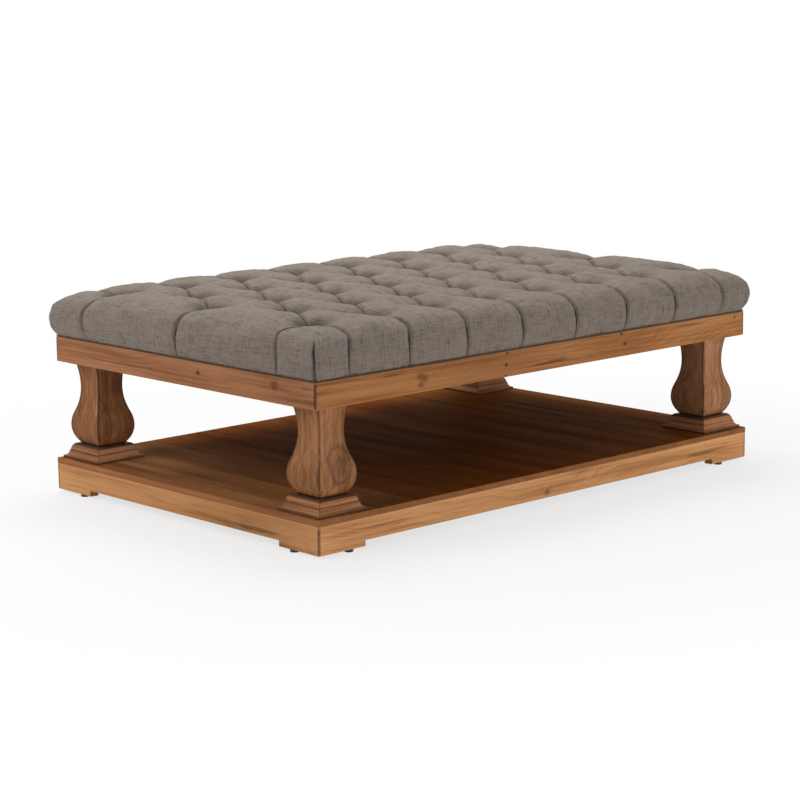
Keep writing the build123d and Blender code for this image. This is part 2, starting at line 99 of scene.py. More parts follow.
class Tree:
    """A node tree with short words for the nodes that the materials use."""

    def __init__(self, tree):
        self.tree = tree
        tree.nodes.clear()

    def add(self, kind, **values):
        node = self.tree.nodes.new("ShaderNode" + kind)
        for name, value in values.items():
            setattr(node, name, value)
        return node

    def put(self, socket, value):
        if isinstance(value, bpy.types.NodeSocket):
            self.tree.links.new(value, socket)
        elif value is not None:
            socket.default_value = value

    def math(self, operation, a, b=None, c=None):
        node = self.add("Math", operation=operation)
        for socket, value in zip(node.inputs, (a, b, c)):
            self.put(socket, value)
        return node.outputs[0]

    def apart(self, a, b):
        """How far two values lie apart."""
        return self.math("ABSOLUTE", self.math("SUBTRACT", a, b))

    def bell(self, value):
        """1 where the value is 0, falling off on both sides."""
        return self.math("EXPONENT", self.math("MULTIPLY", self.math("POWER", value, 2), -1))

    def layered(self, base, *layers):
        """The base plus each layer times its weight."""
        for layer, weight in layers:
            base = self.math("MULTIPLY_ADD", layer, weight, base)
        return base

    def vector(self, operation, a, b=None):
        node = self.add("VectorMath", operation=operation)
        self.put(node.inputs[0], a)
        self.put(node.inputs[1], b)
        return node.outputs["Value"] if operation in ("LENGTH", "DOT_PRODUCT") else node.outputs[0]

    def split(self, vector):
        node = self.add("SeparateXYZ")
        self.put(node.inputs[0], vector)
        return node.outputs

    def join(self, x, y, z):
        node = self.add("CombineXYZ")
        for socket, value in zip(node.inputs, (x, y, z)):
            self.put(socket, value)
        return node.outputs[0]

    def noise(self, vector, scale=1.0, detail=2.0, rough=0.5):
        node = self.add("TexNoise")
        self.put(node.inputs["Vector"], vector)
        self.put(node.inputs["Scale"], scale)
        self.put(node.inputs["Detail"], detail)
        self.put(node.inputs["Roughness"], rough)
        return node.outputs["Fac"]

    def ramp(self, value, stops):
        node = self.add("ValToRGB")
        elements = node.color_ramp.elements
        while len(elements) < len(stops):
            elements.new(0.5)
        for element, (place, colour) in zip(elements, stops):
            element.position = place
            element.color = (*colour, 1)
        self.put(node.inputs[0], value)
        return node.outputs[0]

    def steps(self, value, low, high, out_low=0.0, out_high=1.0):
        """A smooth change from out_low to out_high while the value goes from low to high."""
        node = self.add("MapRange", interpolation_type="SMOOTHSTEP")
        for socket, number in zip(node.inputs, (value, low, high, out_low, out_high)):
            self.put(socket, number)
        return node.outputs[0]

    def mix(self, share, a, b, blend="MIX"):
        node = self.add("Mix", data_type="RGBA", blend_type=blend)
        self.put(node.inputs[0], share)
        self.put(node.inputs[6], a if isinstance(a, bpy.types.NodeSocket) else (*a, 1))
        self.put(node.inputs[7], b if isinstance(b, bpy.types.NodeSocket) else (*b, 1))
        return node.outputs[2]

    def tinted(self, share, colour, tint):
        """The colour, multiplied by the tint where the share is 1."""
        return self.mix(share, colour, self.mix(1.0, colour, tint, "MULTIPLY"))

    def bump(self, height, strength, distance, normal=None):
        node = self.add("Bump")
        self.put(node.inputs["Strength"], strength)
        self.put(node.inputs["Distance"], distance)
        self.put(node.inputs["Height"], height)
        self.put(node.inputs["Normal"], normal)
        return node.outputs[0]

    def place(self):
        return self.add("TexCoord").outputs["Object"]


def new_material(name):
    material = bpy.data.materials.new(name)
    material.use_nodes = True
    return material, Tree(material.node_tree)


def grey(level):
    return (level, level, level)


def shade(colour, share):
    return tuple(part * share for part in colour)


def finish_surface(t, colour, roughness, normal=None, **constants):
    """A principled surface. The constants are its other sockets, with _ for each space."""
    shader = t.add("BsdfPrincipled")
    t.put(shader.inputs["Base Color"], colour)
    t.put(shader.inputs["Roughness"], roughness)
    t.put(shader.inputs["Normal"], normal)
    for name, value in constants.items():
        shader.inputs[name.replace("_", " ")].default_value = value
    out = t.add("OutputMaterial")
    t.put(out.inputs["Surface"], shader.outputs[0])
    return shader


# Wood
def wood(name, seed, tones, along, face, knots=(), marks=(), joints=(), stains_and_painted_light=(), mitred=False,
         ring=0.0075, vein=1.0, edge=1.0, edge_radius=0.007, rub_and_highlight=0.4, rough=0.55, gloss=0.2, painted_top_shade=None):
    """Stained softwood. Along is the grain's axis and face the axis that looks out of the board's face.
    A knot is its place along and across the face, and its radius. A mark is a dark streak or crack:
    its place, half length, half width and strength. A joint is a height where parts meet, darkened there
    with painted contact shade. A stain is a broad patch along the grain: its place, half length and tint;
    on shelf boards 2 and 3 these patches are painted light and shade. Edge is how dark the edges are,
    part gathered stain and part painted shade, and rub how light the level edges are, part wear and part
    painted highlight. The top tint darkens the upward faces as painted shade. Mitred turns the grain
    with each upright face."""
    dark, middle, light = tones
    material, t = new_material(name)
    x, y, z = t.split(t.place())
    normal = t.add("NewGeometry").outputs["Normal"]
    normal_parts = dict(zip("xyz", t.split(normal)))
    if mitred:
        faces_x, faces_y = (t.math("ABSOLUTE", normal_parts[axis]) for axis in "xy")
        turn = t.math("GREATER_THAN", faces_x, faces_y)
        gap = t.math("MULTIPLY", turn, t.math("SUBTRACT", y, x))
        x, y = t.math("ADD", x, gap), t.math("SUBTRACT", y, gap)
    axes = {"x": x, "y": y, "z": z}
    u = axes[along]
    w = axes[face]
    v = axes[next(axis for axis in "xyz" if axis not in (along, face))]
    shift = 3.7 * seed
    point = t.join(t.math("ADD", u, shift), t.math("ADD", v, shift * 0.63), t.math("ADD", w, shift * 0.29))

    def grain(long, cross, detail=2.0, rough=0.5):
        """Noise drawn out along the grain, with so many features to the metre along and across it."""
        return t.noise(t.vector("MULTIPLY", point, (long, cross, cross)), 1.0, detail, rough)

    # Growth rings, bent by slow and quick waves and swelling round the knots
    wander = grain(1.6, 5.0)
    ripple = grain(9.0, 40.0)
    field = t.layered(t.math("MULTIPLY", v, 0.62), (ripple, 0.007), (wander, 0.16), (w, 0.9))
    core = 0.0
    halo = 0.0
    ragged = t.noise(point, 170.0, 2.0, 0.6) if knots else None
    for knot_u, knot_v, size in knots:
        du = t.math("MULTIPLY", t.math("SUBTRACT", u, knot_u), 0.78)
        dv = t.math("SUBTRACT", v, knot_v)
        loose = min(size * 1.3, 0.008)
        wobble = t.math("MULTIPLY_ADD", ragged, loose, -loose / 2)
        far = t.math("ADD", t.vector("LENGTH", t.join(du, dv, 0)), wobble)
        swelling = t.bell(t.math("DIVIDE", far, size * 1.5))
        field = t.math("MULTIPLY_ADD", swelling, size * 1.9, field)
        core_depth = 1 if size < 0.0055 else 0.45 if size < 0.010 else 0.25
        halo_depth = 0.7 if size < 0.015 else 0.3
        rim_depth = min(size * 50, 1)
        rim = t.bell(t.math("DIVIDE", t.math("SUBTRACT", far, size * 1.15), size * 0.2))
        outer = t.steps(far, size * 0.8, size * 1.8, halo_depth, 0)
        core = t.math("MAXIMUM", core, t.steps(far, size * 0.55, size * 1.05, core_depth, 0))
        halo = t.math("MAXIMUM", halo, t.math("MAXIMUM", outer, t.math("MULTIPLY", rim, rim_depth)))
    phase = t.math("FRACT", t.math("DIVIDE", field, ring))
    late = t.ramp(phase, [(0.0, grey(0)), (0.62, grey(0.28)), (0.86, grey(1)), (1.0, grey(0))])
    late = t.math("MULTIPLY", late, t.steps(grain(2.6, 24), 0.35, 0.68, 0.25, 1.0))

    # The tone: pores, veins, rings and broad clouds. Vein is how strong the fine parts are.
    fine = grain(6, 520, 3.0, 0.6)
    tone = t.math("MULTIPLY_ADD", grain(2.4, 130, 3.0, 0.6), 0.60 * vein, 0.47 * (1 - vein))
    tone = t.layered(tone, (late, 0.105), (fine, 0.34 * vein), (grain(1.3, 16), 0.52), (grain(5, 22), 0.34))
    tone = t.steps(tone, 0.54, 1.32)
    colour = t.ramp(tone, [(0.0, light), (0.5, middle), (1.0, dark)])
    # Broad patches along the grain: real stains, and painted light and shade on shelf boards 2 and 3
    for stain_u, half, tint in stains_and_painted_light:
        colour = t.tinted(t.steps(t.apart(u, stain_u), 0, half, 1, 0), colour, tint)
    if knots:
        knot_red = tuple(part * share for part, share in zip(dark, (0.85, 0.55, 0.5)))
        colour = t.mix(t.math("MULTIPLY", halo, 0.52), colour, knot_red)
        colour = t.mix(t.math("MULTIPLY", core, 0.86), colour, shade(knot_red, 0.5))
    for mark_u, mark_v, long, wide, strength in marks:
        jag = t.math("MULTIPLY_ADD", ripple, wide * 3.2, -wide * 1.6)
        du = t.math("DIVIDE", t.math("SUBTRACT", u, mark_u), long)
        dv = t.math("DIVIDE", t.math("ADD", t.math("SUBTRACT", v, mark_v), jag), wide)
        inside = t.steps(t.vector("LENGTH", t.join(du, dv, 0)), 0.55, 1.1, strength, 0)
        colour = t.mix(inside, colour, shade(dark, 0.32))
    # Painted contact shade at the heights where parts meet
    for joint_z in joints:
        colour = t.mix(t.steps(t.apart(z, joint_z), 0.002, 0.006, 0.85, 0), colour, shade(dark, 0.3))
    if not mitred:
        end_grain = t.steps(t.math("ABSOLUTE", normal_parts[along]), 0.55, 0.75, 0, 0.55)
        colour = t.mix(end_grain, colour, shade(middle, 0.82))

    # Edges: the upright ones darkened, part gathered stain and part painted shade, and the level ones
    # lightened, part rubbed wear and part painted highlight; with no rubbing the level ones darken as painted
    # contact shade too
    bevel = t.add("Bevel", samples=6)
    bevel.inputs["Radius"].default_value = edge_radius
    on_edge = t.steps(t.vector("DOT_PRODUCT", bevel.outputs[0], normal), 0.90, 0.995, 1, 0)
    on_edge = t.math("MULTIPLY", on_edge, t.steps(grain(16, 50), 0.35, 0.62, 0.6, 1.0))
    lean = t.apart(t.split(bevel.outputs[0])[2], normal_parts["z"])
    level = t.steps(lean, 0.08, 0.25, 0, 1 if rub_and_highlight else 0)
    dark_and_shaded_edge = t.math("MULTIPLY", on_edge, t.math("SUBTRACT", 1, level))
    colour = t.mix(t.math("MULTIPLY", dark_and_shaded_edge, edge), colour, shade(dark, 0.35))
    rubbed_and_lit_edge = t.math("MULTIPLY", on_edge, level)
    colour = t.mix(t.math("MULTIPLY", rubbed_and_lit_edge, rub_and_highlight), colour, light)

    # Painted shade: a tint darkens the upward faces
    if painted_top_shade:
        colour = t.tinted(t.steps(normal_parts["z"], 0.4, 0.6), colour, painted_top_shade)
    pores = t.math("MULTIPLY_ADD", fine, 0.6, t.math("MULTIPLY", late, -0.4))
    shine = t.steps(tone, 0.2, 0.9, rough, min(rough + 0.12, 1))
    finish_surface(t, colour, shine, t.bump(pores, 0.35, 0.0006), Specular_IOR_Level=gloss)
    return material


def coat(node, material):
    """Give a CAD node its material."""
    mesh = nodes[node].data
    mesh.materials.clear()
    mesh.materials.append(material)


# Cloth
def pleat_line(t, x, y, width):
    """1 on a pleat and 0 away from it, from a place on the flat cloth."""
    def off(value):
        return t.apart(value, t.math("ROUND", value))

    a = t.math("MULTIPLY", t.math("ADD", x, tuft_x), 1 / tuft_pitch)
    b = t.math("MULTIPLY", t.math("ADD", y, tuft_y), 0.5 / row_pitch)
    diagonal = t.math("MINIMUM", off(t.math("SUBTRACT", a, b)), off(t.math("ADD", a, b)))
    inside = t.math("MULTIPLY", diagonal, tuft_pitch * pleat_slope)
    past_x = t.math("GREATER_THAN", t.math("ABSOLUTE", x), tuft_x)
    past_y = t.math("GREATER_THAN", t.math("ABSOLUTE", y), tuft_y)
    column = t.math("MULTIPLY", off(a), tuft_pitch)
    row = t.math("MULTIPLY", off(b), 2 * row_pitch)
    far = t.math("MULTIPLY", inside, t.math("SUBTRACT", 1, t.math("MAXIMUM", past_x, past_y)))
    far = t.math("MULTIPLY_ADD", column, t.math("MULTIPLY", past_y, t.math("SUBTRACT", 1, past_x)), far)
    far = t.math("MULTIPLY_ADD", row, t.math("MULTIPLY", past_x, t.math("SUBTRACT", 1, past_y)), far)
    far = t.math("ADD", t.math("MULTIPLY", past_x, past_y), far)
    return t.steps(far, 0, width, 1, 0)


def linen(name, cloth_map):
    """Heathered linen: uneven warp and weft threads, slubs, and a soft nap. The cloth map runs in metres."""
    dark = (0.059, 0.043, 0.032)
    light = (0.306, 0.253, 0.208)
    middle = tuple((a + b) / 2 for a, b in zip(dark, light))
    thread = 0.0011
    crease_width = 0.0017
    material, t = new_material(name)
    point = t.add("UVMap", uv_map="cloth").outputs[0] if cloth_map else t.place()
    x, y, z = t.split(point)

    def slubs(scale_x, scale_y, rough):
        return t.noise(t.join(t.math("MULTIPLY", x, scale_x), t.math("MULTIPLY", y, scale_y), z), rough=rough)

    warp = slubs(520, 26, 0.6)
    weft = slubs(26, 520, 0.6)
    wave_x, wave_y = (t.math("SINE", t.math("MULTIPLY", way, math.tau / thread)) for way in (x, y))
    weave = t.math("MULTIPLY", wave_x, wave_y)
    tone = t.layered(
        t.math("ADD", t.math("MULTIPLY", warp, 0.5), t.math("MULTIPLY", weft, 0.5)),
        (slubs(210, 9, 0.5), 0.26),
        (slubs(9, 210, 0.5), 0.20),
        (t.noise(point, 900.0, 2.0, 0.7), 0.22),
        (t.noise(point, 230.0, 2.0, 0.6), 0.36),
        (t.noise(point, 60.0, 3.0, 0.6), 0.30),
        (weave, 0.05),
    )
    colour = t.ramp(t.steps(tone, 0.78, 1.29), [(0.0, dark), (0.5, middle), (1.0, light)])
    normal = t.bump(t.math("MULTIPLY_ADD", weave, 0.35, t.math("ADD", warp, weft)), 0.55, 0.0012)
    if cloth_map:
        # Painted shade in the folds, pit walls and seam, and along each pleat a painted dark line that is
        # also a small bump groove
        fold_shade, reach = (t.add("Attribute", attribute_name=word).outputs["Fac"] for word in ("fold_shade", "reach"))
        crease_groove_and_shade = t.math("MULTIPLY", pleat_line(t, x, y, crease_width), reach)
        colour = t.mix(t.math("MULTIPLY", fold_shade, 0.82), colour, shade(dark, 0.25))
        colour = t.mix(t.math("MULTIPLY", crease_groove_and_shade, 0.9), colour, shade(dark, 0.2))
        normal = t.bump(t.math("MULTIPLY", crease_groove_and_shade, -1), 0.8, 0.003, normal)
    finish_surface(t, colour, 0.92, normal, Sheen_Weight=0.05, Sheen_Roughness=0.5, Specular_IOR_Level=0.2)
    return material


# The tufted cushion: cloth laid over the profile, pulled down at the buttons and tucked into pleats
# Its outline from crown to seam: height and inset from the apron's face, in shares of the cushion's height
profile = (
    (1.000, 1.150),
    (0.997, 0.950),
    (0.985, 0.720),
    (0.962, 0.480),
    (0.925, 0.290),
    (0.870, 0.140),
    (0.800, 0.040),
    (0.710, -0.030),
    (0.620, -0.063),
    (0.500, -0.080),
    (0.380, -0.080),
    (0.250, -0.066),
    (0.140, -0.040),
    (0.070, -0.010),
    (0.030, 0.012),
    (0.000, 0.034),
)
crown_inset = profile[0][1]
roll_inset = crown_inset * cushion_height
# The same in metres, as the way out from the roll's start and the way down, and the run of cloth along it
outline = np.array([((crown_inset - inset) * cushion_height, (1 - height) * cushion_height)
                    for height, inset in profile])
outline_run = np.concatenate([[0], np.cumsum(np.hypot(*np.diff(outline, axis=0).T))])
# Above the shoulder the cloth is one grid, and below it the sides go on in rows
shoulder_point = 6
shoulder_run = outline_run[shoulder_point]
seam_run = outline_run[-1]
cells_to_pitch = 26
edge_cell = 0.0058
side_rows = 14
# How squarely the two rolls meet at a corner of the top
roll_power = 3.0

# The cover's lower part, ring by ring: the bead at the seam, the wrap under the deck, and back out and up
# round deck and foam. Each ring gives its inset from the apron's face and its height over the apron.
bead_rows = (
    (0.0040, 0.0050),
    (0.0012, 0.0047),
    (0.0000, 0.0036),
    (-0.0002, 0.0022),
    (0.0003, 0.0008),
    (0.0022, 0.0001),
    (0.0300, 0.0001),
    (0.0533, 0.0001),
    (0.0533, 0.0011),
    (0.0300, 0.0011),
    (0.0133, 0.0011),
    (0.0133, 0.0300),
    (0.0133, 0.0603),
)
# Their place on the flat cloth lies this much further out than the seam's
bead_spread = 1.004


def out_at(run):
    return np.interp(run, outline_run, outline[:, 0])


def down_at(run):
    return np.interp(run, outline_run, outline[:, 1])


def build_cloth_grid():
    """The cloth's grid over the top: its columns and rows, which pass through every button and pleat, and
    where the roll starts."""
    step_x = tuft_pitch / cells_to_pitch
    step_y = row_pitch / cells_to_pitch
    columns = round(tuft_x / step_x)
    rows = round(tuft_y / step_y)
    half_x = apron_length / 2 - roll_inset
    half_y = apron_depth / 2 - roll_inset

    def line(step, number, start, end):
        inner = np.arange(-number, number + 1) * step
        count = max(2, round((end - start) / edge_cell))
        beyond = np.linspace(start, end, count + 1)[1:]
        return np.concatenate([-beyond[::-1], inner, beyond])

    cloth_x = line(step_x, columns, tuft_x, half_x + shoulder_run)
    cloth_y = line(step_y, rows, tuft_y, half_y + shoulder_run)
    return cloth_x, cloth_y, half_x, half_y


def grid_quads(index):
    return np.stack([index[:-1, :-1], index[1:, :-1], index[1:, 1:], index[:-1, 1:]], axis=-1).reshape(-1, 4)


def grid_ring(index):
    """The points round a grid's edge, in order."""
    return np.concatenate([index[:-1, 0], index[-1, :-1], index[:0:-1, -1], index[0, :0:-1]])


def band(upper, lower):
    """Quads between two rings of points."""
    return np.stack([np.roll(upper, -1), upper, lower, np.roll(lower, -1)], axis=-1)


def round_corner(x, y, full_x, full_y, radius):
    """Square rings round a corner become round ones."""
    cx = full_x - radius
    cy = full_y - radius
    px = np.abs(x) - cx
    py = np.abs(y) - cy
    inside = (px > 0) & (py > 0)
    longest = np.maximum(px, py)
    length = np.hypot(px, py)
    k = np.where(inside & (length > 1e-9), longest / np.maximum(length, 1e-9), 1)
    x = np.where(inside, np.sign(x) * (cx + px * k), x)
    y = np.where(inside, np.sign(y) * (cy + py * k), y)
    return x, y


def cushion_mesh():
    """Points, their places on the flat cloth, quads, and the last ring, of the cushion's top and sides."""
    cloth_x, cloth_y, half_x, half_y = build_cloth_grid()
    cx, cy = np.meshgrid(cloth_x, cloth_y, indexing="ij")
    run_x = np.maximum(np.abs(cx) - half_x, 0)
    run_y = np.maximum(np.abs(cy) - half_y, 0)
    x = np.sign(cx) * (np.minimum(np.abs(cx), half_x) + out_at(run_x))
    y = np.sign(cy) * (np.minimum(np.abs(cy), half_y) + out_at(run_y))
    drop = (down_at(run_x) ** roll_power + down_at(run_y) ** roll_power) ** (1 / roll_power)
    points = [np.stack([x, y, crown - drop], axis=-1).reshape(-1, 3)]
    cloth = [np.stack([cx, cy], axis=-1).reshape(-1, 2)]
    index = np.arange(cx.size).reshape(cx.shape)
    faces = [grid_quads(index)]
    last = grid_ring(index)
    edge = points[0][last]
    edge_cloth = cloth[0][last]
    way = np.zeros_like(edge_cloth)
    for axis, cloth_line in enumerate((cloth_x, cloth_y)):
        on_edge = np.isclose(np.abs(edge_cloth[:, axis]), cloth_line[-1])
        way[on_edge, axis] = np.sign(edge_cloth[on_edge, axis])
    count = cx.size
    start_x = half_x + out_at(shoulder_run)
    start_y = half_y + out_at(shoulder_run)
    start_level = crown - down_at(shoulder_run)
    for run in np.linspace(shoulder_run, seam_run, side_rows + 1)[1:]:
        extra = run - shoulder_run
        share = extra / (seam_run - shoulder_run)
        x = edge[:, 0] * (half_x + out_at(run)) / start_x
        y = edge[:, 1] * (half_y + out_at(run)) / start_y
        sag = (start_level - edge[:, 2]) * (1 - share) ** 2
        points.append(np.stack([x, y, crown - down_at(run) - sag], axis=-1))
        cloth.append(edge_cloth + way * extra)
        current = np.arange(count, count + len(last))
        faces.append(band(last, current))
        last = current
        count += len(last)
    return np.concatenate(points), np.concatenate(cloth), np.concatenate(faces), last


def sway(x, y, wave, seed):
    """A smooth, repeatable unevenness between about -1 and 1."""
    turns = np.random.default_rng(seed)
    total = np.zeros_like(x)
    for _ in range(5):
        angle = turns.uniform(0, math.tau)
        length = wave * turns.uniform(0.7, 1.5)
        phase = turns.uniform(0, math.tau)
        total += np.sin((x * math.cos(angle) + y * math.sin(angle)) * math.tau / length + phase)
    return total / 3


def rounded(a, power=3.0, fullness=0.62):
    """A puff's height over its width: 0 at the pleat, 1 in the middle."""
    return (1 - (1 - np.clip(a, 0, 1)) ** power) ** fullness


def fade(far, width, power=2):
    """1 where far is 0, falling off on both sides."""
    return np.exp(-((np.abs(far) / width) ** power))


def rise(value, start, length):
    """From 0 at the start to 1 a length later."""
    return np.clip((value - start) / length, 0, 1)


def fall(value, end, length):
    """From 1 a length before the end to 0 at the end."""
    return np.clip((end - value) / length, 0, 1)


def soft_least(a, b, power=4):
    """The lesser of two values, rounded off where they are alike."""
    a = np.maximum(a, 1e-4)
    b = np.maximum(b, 1e-4)
    return ((a**-power + b**-power) / 2) ** (-1 / power)


def tufting(x, y):
    """At a place on the flat cloth: the puff's height from 0 to 1, the signed distance across to the nearest
    pleat, and the distance to the nearest button."""
    a = (x + tuft_x) / tuft_pitch
    b = (y + tuft_y) / (2 * row_pitch)
    first = a - b - np.round(a - b)
    second = a + b - np.round(a + b)
    inside_puff = soft_least(rounded(2 * np.abs(first)), rounded(2 * np.abs(second)))
    nearer = np.where(np.abs(first) < np.abs(second), first, second)
    inside_far = nearer * tuft_pitch * pleat_slope
    column = (a - np.round(a)) * tuft_pitch
    row = (b - np.round(b)) * 2 * row_pitch
    past_x = np.abs(x) > tuft_x
    past_y = np.abs(y) > tuft_y
    corner = past_x & past_y
    over_x = np.abs(x) - tuft_x
    over_y = np.abs(y) - tuft_y
    half = tuft_pitch / 2
    puff = np.where(past_y, rounded(np.abs(column) / half, 6.0), inside_puff)
    puff = np.where(past_x, rounded(np.abs(row) / row_pitch, 9.0), puff)
    puff = np.where(corner, soft_least(rounded(over_x / half), rounded(over_y / half)), puff)
    far = np.where(past_y, column, inside_far)
    far = np.where(past_x, row, far)
    far = np.where(corner, np.where(over_x < over_y, over_x, over_y), far)
    by_row = np.clip(np.round((y + tuft_y) / row_pitch), 0, row_count - 1)
    odd = by_row % 2
    column_index = np.round(a - odd / 2)
    column_index = np.clip(column_index, 0, long_row_count - 1 - odd)
    button_x = (column_index + odd / 2) * tuft_pitch - tuft_x
    button_y = by_row * row_pitch - tuft_y
    button = np.hypot(x - button_x, y - button_y)
    return puff, far, button


def inside_apron(place, full):
    """How far inside the apron's face a place lies, from the apron's full length or depth."""
    return np.maximum(full / 2 - np.abs(place), 0)


def mesh_object(name, points, faces, cloth=None, smooth=True):
    """A piece from points and faces. Cloth gives each point's place on the flat cloth."""
    mesh = bpy.data.meshes.new(name)
    mesh.from_pydata([tuple(p) for p in points], [], [tuple(int(i) for i in f) for f in faces])
    if cloth is not None:
        places = np.column_stack([cloth, np.zeros(len(cloth))]).astype(np.float32)
        mesh.attributes.new("flat", "FLOAT_VECTOR", "POINT").data.foreach_set("vector", places.ravel())
    mesh.update()
    if smooth:
        mesh.shade_smooth()
    piece = bpy.data.objects.new(name, mesh)
    bpy.context.scene.collection.objects.link(piece)
    return piece


def read_vectors(values, word):
    """One vector for each point of a mesh."""
    out = np.zeros(len(values) * 3, np.float32)
    values.foreach_get(word, out)
    return out.reshape(-1, 3).astype(float)


def read_points(mesh):
    return read_vectors(mesh.vertices, "co")


def read_normals(mesh):
    return read_vectors(mesh.vertex_normals, "vector")


def write_points(mesh, points):
    mesh.vertices.foreach_set("co", points.astype(np.float32).ravel())
    mesh.update()


def baked(piece):
    """The piece's mesh with its modifiers applied."""
    graph = bpy.context.evaluated_depsgraph_get()
    graph.update()
    made = bpy.data.meshes.new_from_object(piece.evaluated_get(graph), depsgraph=graph)
    piece.modifiers.clear()
    piece.data = made
    return made


def swell(piece, held, pressure, growth, most, frames=20):
    """Blow the cloth out between the places where it is held, no further than most. Returns how far the
    simulation had moved it."""
    rest = read_points(piece.data)
    group = piece.vertex_groups.new(name="held")
    for level in np.unique(np.round(held, 1)):
        if level > 0:
            group.add([int(i) for i in np.nonzero(np.round(held, 1) == level)[0]], float(level), "REPLACE")
    cloth = piece.modifiers.new("cloth", "CLOTH")
    settings = cloth.settings
    settings.quality = 4
    settings.mass = 0.3
    settings.tension_stiffness = 20
    settings.compression_stiffness = 20
    settings.shear_stiffness = 8
    settings.bending_stiffness = 0.8
    settings.vertex_group_mass = "held"
    settings.use_pressure = True
    settings.uniform_pressure_force = pressure
    settings.shrink_min = -growth
    settings.effector_weights.gravity = 0
    cloth.collision_settings.use_collision = False
    cloth.collision_settings.use_self_collision = False
    cloth.point_cache.frame_start = 1
    cloth.point_cache.frame_end = frames
    scene = bpy.context.scene
    for step in range(1, frames + 1):
        scene.frame_set(step)
    moved = read_points(baked(piece))
    scene.frame_set(1)
    piece.vertex_groups.clear()
    shift = moved - rest
    length = np.linalg.norm(shift, axis=1, keepdims=True)
    shift *= np.minimum(1, most / np.maximum(length, 1e-9))
    write_points(piece.data, rest + shift)
    return length.max()


def lay_cloth():
    """The cover before the simulation, open over the foam: the piece, and how firmly each point is held."""
    points, flat, faces, seam = cushion_mesh()
    outer = len(points)
    ring_count = len(seam)
    base = points[seam]
    seam_x, seam_y = np.abs(base[:, :2]).max(axis=0)
    rows, flats, quads = [points], [flat], [faces]
    previous = seam
    for number, (inset, height) in enumerate(bead_rows):
        x = base[:, 0] * ((apron_length / 2 - inset) / seam_x)
        y = base[:, 1] * ((apron_depth / 2 - inset) / seam_y)
        rows.append(np.column_stack([x, y, np.full(ring_count, apron_top + height)]))
        flats.append(flat[seam] * bead_spread)
        current = outer + ring_count * number + np.arange(ring_count)
        quads.append(band(previous, current))
        previous = current
    points = np.concatenate(rows)
    flat = np.concatenate(flats)

    # Round the upright corners by height
    skin = points[:outer]
    levels = [apron_top, apron_top + 0.03, apron_top + 0.07, crown]
    radius = np.interp(skin[:, 2], levels, [0.010, 0.008, 0.010, 0.030])
    level_x = np.interp(crown - skin[:, 2], outline[:, 1], outline[:, 0]) + apron_length / 2 - roll_inset
    level_y = level_x + (apron_depth - apron_length) / 2
    skin[:, 0], skin[:, 1] = round_corner(skin[:, 0], skin[:, 1], level_x, level_y, radius)

    # Valleys along the pleats and dimples at the buttons
    piece = mesh_object("tufted_cover", points, np.concatenate(quads), flat)
    normals = read_normals(piece.data)
    flat_x, flat_y = flat.T
    puff, _, button = tufting(flat_x, flat_y)
    side = rise(crown - points[:, 2], 0.012, 0.05)
    lower = rise(points[:, 2] - apron_top, 0.004, 0.05)
    open_top = (np.abs(flat_x) < tuft_x) & (np.abs(flat_y) < tuft_y)
    uneven = 1 + 0.16 * sway(flat_x, flat_y, 0.23, 3)
    valley = np.where(open_top, 0.0105, 0.0085) * uneven * (1 - side * 0.55)
    valley = valley * np.where(side > 0, 0.25 + 0.75 * lower, 1)
    dimple = 0.0170 * np.clip(1 - button / 0.080, 0, 1) ** 1.3 + 0.0120 * fade(button, 0.027, 2.8)
    bottom = fall(button, 0.0135, 0.004)
    depth = valley * (1 - puff) + dimple * (side < 0.3)
    at_bottom = depth * (1 - bottom) + (crown - dimple_floor) * bottom
    depth = np.where((bottom > 0) & (side < 0.3), at_bottom, depth)
    skin -= normals[:outer] * depth[:outer, None]

    # Small ears at the upright corners, and corners that hang a little lower
    from_corner = np.hypot(inside_apron(skin[:, 0], apron_length), inside_apron(skin[:, 1], apron_depth))
    ear = 0.0040 * fade(from_corner, 0.045) * rise(skin[:, 2] - apron_top, 0.002, 0.020) * side[:outer]
    skin[:, 0] += np.sign(skin[:, 0]) * ear
    skin[:, 1] += np.sign(skin[:, 1]) * ear
    low_corner = rise(np.abs(skin[:, 0]), 0.52, 0.06) * rise(np.abs(skin[:, 1]), 0.28, 0.06)
    skin[:, 2] -= 0.0015 * low_corner * (1 - side[:outer])
    write_points(piece.data, points)

    held = np.clip(1 - (puff - 0.25) / 0.25, 0, 1) * np.where(side > 0.6, 0.55 + 0.45 * (1 - lower), 1)
    held = np.maximum(held, fall(button, 0.020, 0.006))
    held[outer - ring_count :] = 1
    return piece, held


